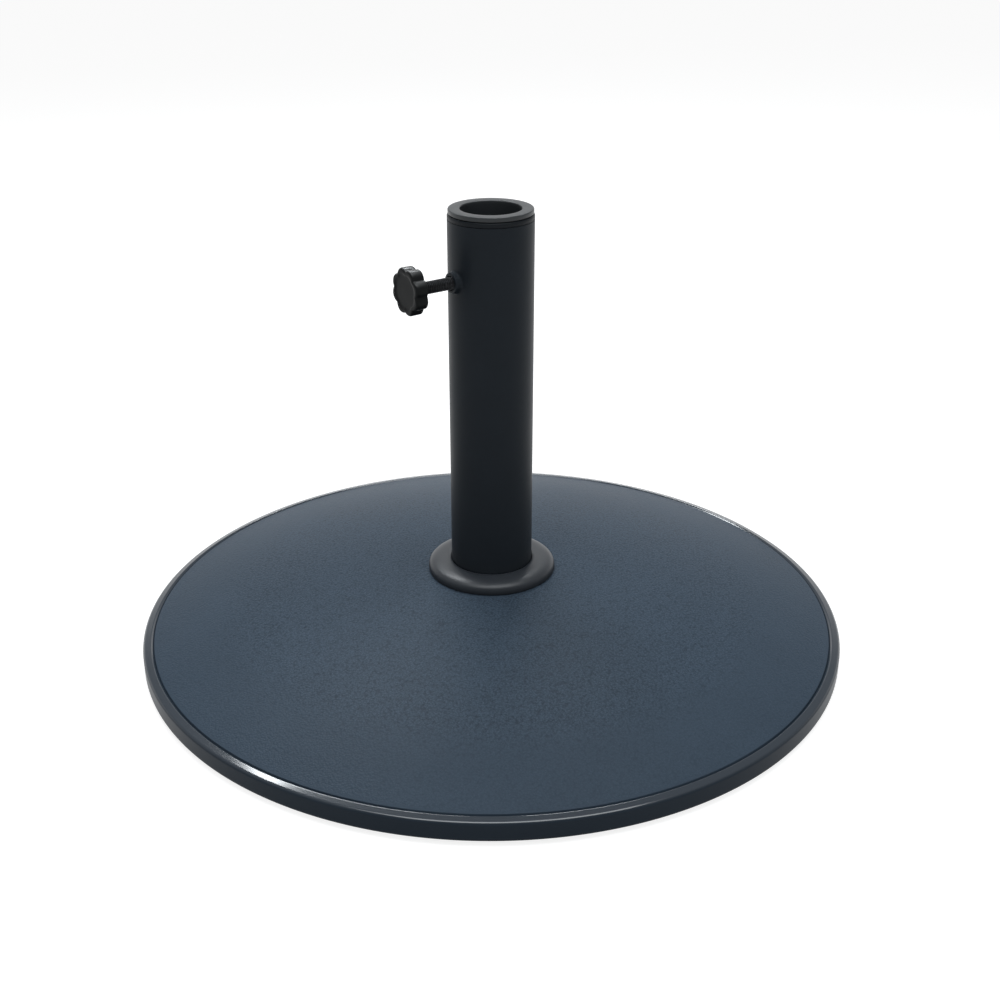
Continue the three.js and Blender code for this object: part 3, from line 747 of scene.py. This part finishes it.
def reducer():
    """Two sheets with one grid: a ribbed sleeve that spreads into the flange, and the pole's bore.

    The slot for the pad is open at the bottom and round at the top. Corners inside it are pushed out to
    its edge: sideways below the screw's height, and away from the screw's axis above it.
    """
    columns, ribs = 288, 8
    soft = 0.7 * MM
    sleeve = POLE_BORE + REDUCER_WALL
    heights = np.linspace(REDUCER_FOOT, FLANGE_FOOT, 90)
    corner = np.radians(np.linspace(0, 90, 7))
    rounding = FLANGE_TOP - soft + soft * np.sin(corner)
    rim = np.column_stack([FLANGE_RADIUS - soft + soft * np.cos(corner), rounding])
    lip = np.column_stack([POLE_BORE + soft - soft * np.cos(corner), rounding])
    under = [(FLANGE_RADIUS - 0.3 * MM, FLANGE_FOOT), (FLANGE_RADIUS, FLANGE_FOOT + 0.3 * MM)]
    outer = np.vstack([np.column_stack([0 * heights + sleeve, heights]), under, rim])
    beside = [(POLE_BORE, FLANGE_FOOT + 0.2 * MM), (POLE_BORE, FLANGE_FOOT + 0.4 * MM)]
    inner = np.vstack([np.column_stack([0 * heights + POLE_BORE, heights]), beside, lip])
    turn = np.linspace(0, FULL_TURN, columns, endpoint=False)[None, :]
    on_sleeve = (np.arange(len(outer)) < len(heights))[:, None]
    up = outer[:, 1][:, None] + 0 * turn
    around = (turn - math.pi) * sleeve + 0 * up
    above = np.maximum(up - SCREW_HEIGHT, 0)
    distance = np.hypot(around, above)
    inside = (distance < SLOT_HALF_WIDTH) & on_sleeve
    push = np.where(inside, SLOT_HALF_WIDTH / np.maximum(distance, 1e-9), 1)
    angle = math.pi + around * push / sleeve
    shift = above * push - above
    from_rib = np.abs((turn / FULL_TURN * ribs) % 1 - 0.5) * FULL_TURN / ribs * sleeve
    rib = np.clip(1.6 - from_rib / (1.0 * MM), 0, 1) * RIB_HEIGHT * on_sleeve
    skins = []
    for section, extra in ((outer, rib), (inner, 0)):
        reach = section[:, 0][:, None] + extra
        height = section[:, 1][:, None] + shift
        skins.append(np.stack([reach * np.cos(angle), reach * np.sin(angle), height], axis=-1).reshape(-1, 3))
    quads = grid_quads(len(outer), columns)
    quads = quads[~inside.ravel()[quads].all(axis=1)]
    piece("pole_reducer", [walled(*skins, quads)], FLANGE_BLACK, "reducer",
          ["reducer_sleeve"])


# ---- Clamping screw, knob and pad --------------------------------------------------------------------

def clamp_screw():
    """A rod whose radius rises and falls as a helix: a sawtooth of distance / pitch less turn / full turn."""
    turn = np.linspace(0, FULL_TURN, 48, endpoint=False)
    shoulder = PAD_BACK + CLEARANCE
    pin, chamfer = 2.2 * MM, 0.3 * MM
    distance = np.arange(shoulder, SCREW_END, THREAD_PITCH / 12)[:, None]
    phase = (-distance / THREAD_PITCH - turn / FULL_TURN) % 1
    tooth = np.clip(1.25 - np.abs(phase * 2 - 1) * 1.5, 0, 1)
    depth = 0.61 * THREAD_PITCH
    start = np.clip((distance - shoulder) / (1.0 * MM), 0, 1)
    reach = SCREW_RADIUS - depth * (1 - tooth * start)
    level = 0 * turn
    rows = [(level, SCREW_TIP + level), (pin - chamfer + level, SCREW_TIP + level),
            (pin + level, SCREW_TIP + chamfer + level), (pin + level, shoulder + level)]
    rows += [(r, d + level) for r, d in zip(reach, distance)]
    rows += [(level, distance[-1] + level)]
    points = along_screw(stack_rows(rows, turn))
    piece("threaded_screw", [(points, grid_quads(len(rows), len(turn)))], OXIDE, "clamp_knob",
          ["knob_screw"], crease=50)


def knob():
    """Rows from the face's middle over the lobes to the hub and its bore.

    Each row is (inset, round share, round radius, distance): its reach is the lobed outline less the
    inset, blended towards a plain circle. The lobes are a squared cosine to the power of a fullness below
    1, and the valley keeps the grooves between them from coming to a point.
    """
    columns = 384
    turn = np.linspace(0, FULL_TURN, columns, endpoint=False)
    valley, fullness = 0.012, 0.42
    wave = np.cos(KNOB_LOBES * (turn - KNOB_FIRST_LOBE + math.pi / 2) / 2) ** 2
    lobe = ((wave + valley) / (1 + valley)) ** fullness
    lobed = KNOB_RADIUS - KNOB_LOBE_DEPTH * (1 - lobe)
    face, back = KNOB_FACE, KNOB_BACK
    soft, back_soft, recess = 1.5 * MM, 1.0 * MM, 0.55 * MM
    bore, bore_end = SCREW_RADIUS + 0.1 * MM, SCREW_END + CLEARANCE / 2
    hub = SCREW_RADIUS + CLEARANCE + 1.6 * MM
    rows = [(0, 1, 0, face - recess * 0.9)]
    rows += [(0, 1, r * MM, face - recess) for r in (3, 6, 8.2)]
    rows += [(3.6 * MM, 0.85, 9.6 * MM, face - recess), (3.1 * MM, 0.7, 10.4 * MM, face - recess * 0.8),
             (2.7 * MM, 0.55, 10.9 * MM, face - recess * 0.25), (2.3 * MM, 0.35, 11.4 * MM, face)]
    for angle in np.radians(np.linspace(0, 90, 9)):
        rows.append((soft * (1 - math.sin(angle)), 0, 0, face - soft * (1 - math.cos(angle))))
    rows += [(0.05 * MM, 0, 0, (face + back) / 2)]
    for angle in np.radians(np.linspace(0, 90, 7)):
        inset = 0.1 * MM + back_soft * (1 - math.cos(angle))
        rows.append((inset, 0, 0, back + back_soft * (1 - math.sin(angle))))
    rows += [(3.4 * MM, 0.6, 10 * MM, back), (0, 1, hub + 1.6 * MM, back)]
    for angle in np.radians(np.linspace(0, 90, 6)):
        root = hub + back_soft * (1 - math.sin(angle))
        rows.append((0, 1, root, back - back_soft * (1 - math.cos(angle))))
    rows += [(0, 1, hub, KNOB_HUB_END + 0.4 * MM), (0, 1, hub - 0.4 * MM, KNOB_HUB_END),
             (0, 1, bore, KNOB_HUB_END), (0, 1, bore, bore_end), (0, 1, 0, bore_end)]
    sheet = [((1 - share) * (lobed - inset) + share * circle, distance + 0 * turn)
             for inset, share, circle, distance in rows]
    points = along_screw(stack_rows(sheet, turn))
    piece("lobed_knob", [(points, grid_quads(len(sheet), columns))], KNOB_BLACK, "clamp_knob",
          ["knob_body"], crease=60)


def pad():
    """A nylon disc with rounded edges and a pocket for the screw's pin."""
    pocket, pocket_floor = 2.5 * MM, PAD_BACK - 1.4 * MM
    section = [(0, PAD_FACE, 0), (PAD_RADIUS, PAD_FACE, 0.6 * MM), (PAD_RADIUS, PAD_BACK, 0.4 * MM),
               (pocket, PAD_BACK, 0.2 * MM), (pocket, pocket_floor, 0), (0, pocket_floor, 0)]
    points, quads = turned(outline(section, steps=5), 72, closed=False)
    piece("swivel_pad", [(along_screw(points), quads)], NYLON, "pressure_tip", ["pressure_pad"])


# ---- Hidden CAD nodes keep their shape and get their finish ---------------------------------------------

def finish_hidden_nodes():
    finishes = {"concrete_ballast": CONCRETE, "bolt_sleeve": ZINC, "tube_end_plate": TUBE_BLACK}
    for node, finish in finishes.items():
        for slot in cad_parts[node].material_slots:
            slot.material = finish


# ---- Stage: floor, lamps and camera --------------------------------------------------------------------

CAMERA_AZIMUTH = math.radians(-34.76)
CAMERA_PITCH = math.radians(25.065)
CAMERA_YAW = math.radians(0.308)
CAMERA_REACH = 0.8675
CAMERA_HEIGHT = 0.5066
CAMERA_LENS = 50.7
CAMERA_SHIFT = 0.0016
LAMP_AIM = np.array((0, 0, 0.1))
LAMP_COLOUR = (0.93, 0.97, 1)
WHITE = (1, 1, 1, 1)
DAYLIGHT = 0.27
FLOOR_HALF = 12
FLOOR_PAPER = (0.4, 0.4, 0.4, 1)
FLOOR_GLOW = 0.84


def seen_directly(recipe):
    """1 for rays from the camera, or reflected or refracted to it, and 0 for the rays that light things."""
    rays = [recipe.node("ShaderNodeLightPath", output=kind)
            for kind in ("Is Camera Ray", "Is Glossy Ray", "Is Transmission Ray")]
    return rays[0].most(rays[1]).most(rays[2])


def floor():
    """A white sheet that keeps the object's shadow: mostly bright by itself, the rest from the lamps."""
    material = bpy.data.materials.new("white_sheet")
    material.use_nodes = True
    material.node_tree.nodes.clear()
    recipe = Recipe(material.node_tree)
    paper = recipe.node("ShaderNodeBsdfDiffuse", None, {"Color": FLOOR_PAPER})
    glow = recipe.node("ShaderNodeEmission", None, {"Color": WHITE, "Strength": FLOOR_GLOW})
    bright = recipe.node("ShaderNodeAddShader", None, {0: paper, 1: glow})
    sheet = recipe.node("ShaderNodeMixShader", None, {0: seen_directly(recipe), 1: paper, 2: bright})
    recipe.node("ShaderNodeOutputMaterial", None, {0: sheet})
    mesh = bpy.data.meshes.new("floor_sheet")
    corners = [(FLOOR_HALF * x, FLOOR_HALF * y, 0) for x, y in ((-1, -1), (1, -1), (1, 1), (-1, 1))]
    mesh.from_pydata(corners, [], [(0, 1, 2, 3)])
    mesh.materials.append(material)
    sheet_object = bpy.data.objects.new("floor_sheet", mesh)
    bpy.context.scene.collection.objects.link(sheet_object)


def daylight():
    """A white surround, at full strength where it is seen and weaker as a lamp. Its ceiling reflects grey."""
    world = bpy.data.worlds.new("white_surround")
    bpy.context.scene.world = world
    world.use_nodes = True
    world.node_tree.nodes.clear()
    recipe = Recipe(world.node_tree)
    direction = recipe.node("ShaderNodeTexCoord", output="Generated")
    height = recipe.node("ShaderNodeSeparateXYZ", None, {0: direction}, output="Z")
    in_view = recipe.node("ShaderNodeLightPath", output="Is Camera Ray")
    strength = DAYLIGHT + in_view.most(seen_directly(recipe) * height.ramp(0.5, 0.1)) * (1 - DAYLIGHT)
    background = recipe.node("ShaderNodeBackground", None, {"Color": WHITE, "Strength": strength})
    recipe.node("ShaderNodeOutputWorld", None, {0: background})


def softbox(name, azimuth, elevation, reach, width, height, power):
    """A rectangular lamp aimed at the tube, in degrees, metres and watts.

    Azimuth 0 is straight behind the object and 90 to its right. An elevation above 90 leans towards
    the camera.
    """
    angle = math.radians(azimuth)
    rise = math.radians(elevation)
    ahead = np.array((-math.sin(CAMERA_AZIMUTH), math.cos(CAMERA_AZIMUTH), 0))
    right = np.array((math.cos(CAMERA_AZIMUTH), math.sin(CAMERA_AZIMUTH), 0))
    level = math.cos(angle) * ahead + math.sin(angle) * right
    away = math.cos(rise) * level + np.array((0, 0, math.sin(rise)))
    lamp = bpy.data.lights.new(name, "AREA")
    lamp.shape = "RECTANGLE"
    lamp.size, lamp.size_y, lamp.energy = width, height, power
    lamp.color = LAMP_COLOUR
    made = bpy.data.objects.new(name, lamp)
    made.location = tuple(away * reach + LAMP_AIM)
    made.rotation_euler = aimed_at_object(away)
    bpy.context.scene.collection.objects.link(made)


def aimed_at_object(away):
    """Euler turn of a lamp that stands in the given direction and shines back along it."""
    flat = math.hypot(away[0], away[1])
    return math.atan2(flat, away[2]), 0, math.atan2(away[0], -away[1])


def camera():
    """Stands at its reach and azimuth from the tube's axis, and looks down by its pitch."""
    lens = bpy.data.cameras.new("studio_camera")
    lens.sensor_width = 36
    lens.lens = CAMERA_LENS
    lens.shift_x = CAMERA_SHIFT
    made = bpy.data.objects.new("studio_camera", lens)
    x, y = math.sin(CAMERA_AZIMUTH) * CAMERA_REACH, -math.cos(CAMERA_AZIMUTH) * CAMERA_REACH
    made.location = (x, y, CAMERA_HEIGHT)
    made.rotation_euler = (math.pi / 2 - CAMERA_PITCH, 0, CAMERA_AZIMUTH - CAMERA_YAW)
    bpy.context.scene.collection.objects.link(made)
    bpy.context.scene.camera = made


shell()
bottom_pan()
pan_screws()
feet()
anchor()
tube()
bush()
cover_ring()
mouth_collar()
reducer()
clamp_screw()
knob()
pad()
finish_hidden_nodes()
floor()
daylight()
softbox("back_strip", azimuth=-14, elevation=54, reach=1.6, width=1.16, height=0.22, power=15.5)
softbox("overhead", azimuth=-12, elevation=104, reach=1.6, width=1.5, height=1.1, power=17)
camera()
bpy.context.scene.view_settings.view_transform = "Standard"
